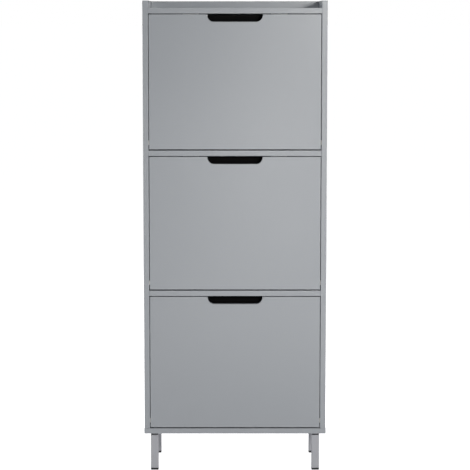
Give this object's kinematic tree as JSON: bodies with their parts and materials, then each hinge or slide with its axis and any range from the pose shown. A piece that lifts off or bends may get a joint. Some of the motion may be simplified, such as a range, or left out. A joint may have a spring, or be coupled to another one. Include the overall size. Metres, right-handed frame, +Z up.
{
  "type": "shoe cabinet",
  "caption": "Tall narrow cabinet on square legs, with a low gallery on top and tilt-out flaps that carry two-row shoe racks and have rounded finger notches.",
  "frame": {"origin": "centre of the footprint on the floor, under the glides", "axes": "+Z up, +X to the right seen from the front, +Y to the back; the flaps face -Y"},
  "size_m": [0.502, 0.24, 1.295],
  "materials": {
    "painted_board": "satin lacquered board, light bluish grey",
    "hardboard": "painted hardboard",
    "leg_metal": "fine powder coat, light bluish grey",
    "black_plastic": "moulded, matte",
    "zinc_steel": "zinc plated",
    "zinc_insert": "die cast zinc",
    "beech": "turned beech",
    "nylon": "natural nylon",
    "catch_plastic": "moulded, matte",
    "pin_steel": "bright steel",
    "rack_plastic": "moulded, fine texture",
    "rack_panel": "melamine faced board",
    "guard_plastic": "moulded, matte black",
    "bracket_steel": "pressed steel, zinc plated"
  },
  "bodies": {
    "cabinet": {"back_panel": "hardboard", "back_panel_screws": "zinc_steel", "bottom_panel": "painted_board", "cam_bolts": "zinc_steel", "cam_locks": "zinc_insert", "divider_lower": "painted_board", "divider_upper": "painted_board", "dowels": "beech", "gallery_rail": "painted_board", "leg_back_left": "leg_metal", "leg_back_right": "leg_metal", "leg_collars": "black_plastic", "leg_front_left": "leg_metal", "leg_front_right": "leg_metal", "leg_glides": "black_plastic", "leg_inserts": "zinc_insert", "leg_studs": "zinc_steel", "magnetic_catches": "catch_plastic", "panel_screws": "zinc_steel", "pivot_bushes": "nylon", "side_panel_left": "painted_board", "side_panel_right": "painted_board", "stop_pins": "nylon", "top_panel": "painted_board", "wall_rail": "painted_board"},
    "flap_bottom": {"finger_guard_bottom": "guard_plastic", "flap_panel_bottom": "painted_board", "flap_screws_bottom": "zinc_steel", "hinge_pins_bottom": "pin_steel", "rack_back_bottom": "rack_panel", "rack_brackets_bottom": "bracket_steel", "rack_divider_bottom": "rack_panel", "rack_floor_bottom": "rack_panel", "rack_side_left_bottom": "rack_plastic", "rack_side_right_bottom": "rack_plastic", "strike_plates_bottom": "pin_steel"},
    "flap_middle": {"finger_guard_middle": "guard_plastic", "flap_panel_middle": "painted_board", "flap_screws_middle": "zinc_steel", "hinge_pins_middle": "pin_steel", "rack_back_middle": "rack_panel", "rack_brackets_middle": "bracket_steel", "rack_divider_middle": "rack_panel", "rack_floor_middle": "rack_panel", "rack_side_left_middle": "rack_plastic", "rack_side_right_middle": "rack_plastic", "strike_plates_middle": "pin_steel"},
    "flap_top": {"finger_guard_top": "guard_plastic", "flap_panel_top": "painted_board", "flap_screws_top": "zinc_steel", "hinge_pins_top": "pin_steel", "rack_back_top": "rack_panel", "rack_brackets_top": "bracket_steel", "rack_divider_top": "rack_panel", "rack_floor_top": "rack_panel", "rack_side_left_top": "rack_plastic", "rack_side_right_top": "rack_plastic", "strike_plates_top": "pin_steel"}
  },
  "joints": [
    {"name": "flap_bottom_tilt", "type": "hinge", "parent": "cabinet", "child": "flap_bottom", "pos_m": [0, -0.1125, 0.141], "axis": [1, 0, 0], "range_deg": [0, 48]},
    {"name": "flap_middle_tilt", "type": "hinge", "parent": "cabinet", "child": "flap_middle", "pos_m": [0, -0.1125, 0.526], "axis": [1, 0, 0], "range_deg": [0, 48]},
    {"name": "flap_top_tilt", "type": "hinge", "parent": "cabinet", "child": "flap_top", "pos_m": [0, -0.1125, 0.911], "axis": [1, 0, 0], "range_deg": [0, 48]}
  ]
}
